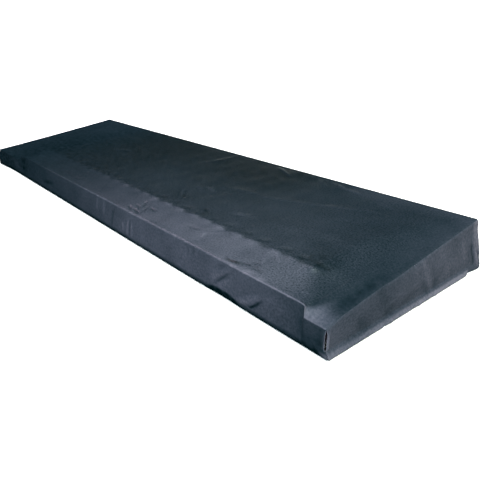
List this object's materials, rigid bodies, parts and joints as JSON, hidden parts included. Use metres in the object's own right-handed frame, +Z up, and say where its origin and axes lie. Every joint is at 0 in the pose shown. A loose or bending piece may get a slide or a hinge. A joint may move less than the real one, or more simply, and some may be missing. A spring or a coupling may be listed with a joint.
{
  "type": "keyboard dust cover",
  "caption": "Fitted stretch-cloth keyboard dust cover: a long wrap panel with sewn end panels and a turned-in hem, hollow and open underneath, with raised forms showing through its tight top.",
  "frame": {"origin": "on the underside of the cloth at the middle of the top, where the cover is held up", "axes": "+X to the right along the length, +Y to the back, +Z up out of the top"},
  "size_m": [1.0456, 0.3232, 0.0774],
  "materials": {
    "stretch_cloth": "dark slate stretch knit with a low sheen"
  },
  "bodies": {
    "root": {"wrap_panel": "stretch_cloth", "left_end_panel": "stretch_cloth", "right_end_panel": "stretch_cloth"}
  },
  "joints": []
}
